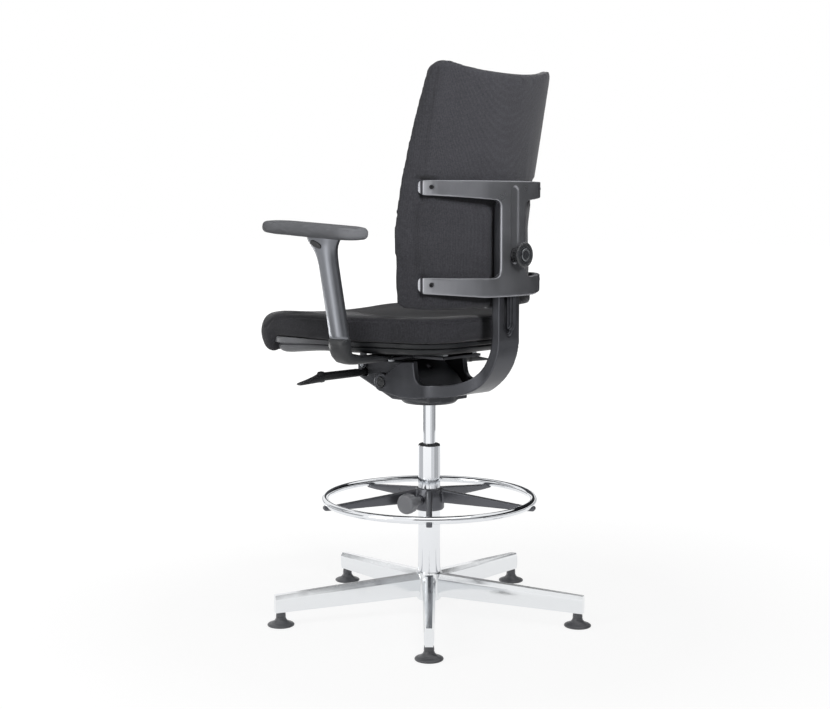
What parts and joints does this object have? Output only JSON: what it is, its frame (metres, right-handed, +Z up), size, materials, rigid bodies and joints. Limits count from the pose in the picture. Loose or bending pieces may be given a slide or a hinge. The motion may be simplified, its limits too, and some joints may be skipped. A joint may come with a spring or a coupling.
{
  "type": "drafting chair",
  "caption": "Height-adjustable drafting chair with a padded seat and backrest, armrests, a gas lift, a foot ring and a polished star base on glides.",
  "frame": {"origin": "middle of the footprint, on the floor", "axes": "+Z up, the chair faces -Y, and +X is the sitter's left"},
  "size_m": [0.6981, 0.7088, 1.2103],
  "materials": {
    "polished_aluminium": "polished",
    "chrome": "bright chrome plate",
    "graphite_coat": "satin powder coat",
    "cast_black": "black coat on a casting",
    "zinc_steel": "zinc plated",
    "dark_plastic": "fine texture",
    "pan_plastic": "fine texture",
    "silver_coat": "satin silver-grey coat",
    "soft_pad": "soft-touch foam skin",
    "black_fabric": "woven upholstery"
  },
  "bodies": {
    "base": {"star_base": "polished_aluminium", "glide_1": "dark_plastic", "glide_2": "dark_plastic", "glide_3": "dark_plastic", "glide_4": "dark_plastic", "glide_5": "dark_plastic", "column_tube": "chrome", "column_bushing": "dark_plastic"},
    "foot_ring_unit": {"foot_ring": "chrome", "foot_ring_hub": "graphite_coat"},
    "ring_knob": {"foot_ring_knob": "dark_plastic", "foot_ring_clamp_stud": "zinc_steel"},
    "gas_lift": {"gas_piston": "chrome"},
    "chassis": {"mechanism_housing": "cast_black", "taper_sleeve": "zinc_steel", "recline_spring": "zinc_steel", "recline_pin": "zinc_steel", "seat_front_pin": "zinc_steel", "left_lever_pin": "zinc_steel", "right_lever_pin": "zinc_steel"},
    "back_frame": {"back_fork": "graphite_coat", "pivot_cap_left": "dark_plastic", "pivot_cap_right": "dark_plastic"},
    "backrest": {"back_carrier": "graphite_coat", "back_panel": "black_fabric", "back_cushion": "black_fabric", "back_clamp_bolt": "zinc_steel", "back_clamp_nut": "zinc_steel", "carrier_screw_left_1": "zinc_steel", "carrier_screw_left_2": "zinc_steel", "carrier_screw_right_1": "zinc_steel", "carrier_screw_right_2": "zinc_steel"},
    "backrest_knob": {"back_knob": "dark_plastic"},
    "seat_frame": {"seat_carrier": "cast_black", "slide_rail_left": "zinc_steel", "slide_rail_right": "zinc_steel", "arm_bracket_left": "dark_plastic", "arm_bracket_right": "dark_plastic", "bracket_bolt_left_1": "zinc_steel", "bracket_bolt_left_2": "zinc_steel", "bracket_bolt_right_1": "zinc_steel", "bracket_bolt_right_2": "zinc_steel"},
    "seat": {"seat_pan": "pan_plastic", "seat_cushion": "black_fabric"},
    "armrest_left": {"arm_sleeve_left": "silver_coat", "arm_pad_left": "soft_pad"},
    "armrest_right": {"arm_sleeve_right": "silver_coat", "arm_pad_right": "soft_pad"},
    "button_left": {"arm_button_left": "dark_plastic"},
    "button_right": {"arm_button_right": "dark_plastic"},
    "depth_lever": {"left_lever": "graphite_coat", "left_lever_paddle": "dark_plastic"},
    "height_lever": {"right_lever": "graphite_coat", "right_lever_paddle": "dark_plastic"}
  },
  "joints": [
    {"name": "foot_ring_height", "type": "slide", "parent": "base", "child": "foot_ring_unit", "axis": [0, 0, 1], "range_m": [-0.12, 0.09]},
    {"name": "ring_knob_turn", "type": "hinge", "parent": "foot_ring_unit", "child": "ring_knob", "pos_m": [0.10156, 0.01936, 0.264], "axis": [0.9945, 0.1045, 0], "range_deg": [0, 360]},
    {"name": "seat_height", "type": "slide", "parent": "base", "child": "gas_lift", "axis": [0, 0, 1], "range_m": [-0.085, 0.11]},
    {"name": "swivel", "type": "hinge", "parent": "gas_lift", "child": "chassis", "pos_m": [0.022, 0.011, 0.5], "axis": [0, 0, 1], "continuous": true},
    {"name": "recline", "type": "hinge", "parent": "chassis", "child": "back_frame", "pos_m": [0.022, -0.054, 0.53], "axis": [-1, 0, 0], "range_deg": [0, 16], "stiffness_Nm_per_rad": 80, "springref_deg": -45.84},
    {"name": "seat_tilt", "type": "hinge", "parent": "chassis", "child": "seat_frame", "pos_m": [0.022, -0.127, 0.562], "axis": [-1, 0, 0], "range_deg": [0, 4.8]},
    {"name": "seat_depth", "type": "slide", "parent": "seat_frame", "child": "seat", "axis": [0, -1, 0], "range_m": [0, 0.05]},
    {"name": "armrest_height_left", "type": "slide", "parent": "seat_frame", "child": "armrest_left", "axis": [0, -0.2028, 0.9792], "range_m": [0, 0.1]},
    {"name": "armrest_height_right", "type": "slide", "parent": "seat_frame", "child": "armrest_right", "axis": [0, -0.2028, 0.9792], "range_m": [0, 0.1]},
    {"name": "arm_button_left_press", "type": "slide", "parent": "armrest_left", "child": "button_left", "axis": [-1, 0, 0], "range_m": [0, 0.0025], "stiffness_N_per_m": 400, "springref_m": -0.002},
    {"name": "arm_button_right_press", "type": "slide", "parent": "armrest_right", "child": "button_right", "axis": [1, 0, 0], "range_m": [0, 0.0025], "stiffness_N_per_m": 400, "springref_m": -0.002},
    {"name": "depth_lever_lift", "type": "hinge", "parent": "chassis", "child": "depth_lever", "pos_m": [0.08, -0.127, 0.5455], "axis": [0, -1, 0], "range_deg": [0, 5], "stiffness_Nm_per_rad": 6, "springref_deg": -5.73},
    {"name": "height_lever_lift", "type": "hinge", "parent": "chassis", "child": "height_lever", "pos_m": [-0.036, -0.045, 0.565], "axis": [0, 1, 0], "range_deg": [0, 5], "stiffness_Nm_per_rad": 6, "springref_deg": -5.73},
    {"name": "back_height", "type": "slide", "parent": "back_frame", "child": "backrest", "axis": [0, 0, 1], "range_m": [0, 0.07]},
    {"name": "back_knob_turn", "type": "hinge", "parent": "backrest", "child": "backrest_knob", "pos_m": [0.022, 0.271, 0.817], "axis": [0, 1, 0], "range_deg": [0, 360]}
  ],
  "couplings": [
    {"joint": "seat_tilt", "follows": "recline", "ratio": 0.3}
  ]
}
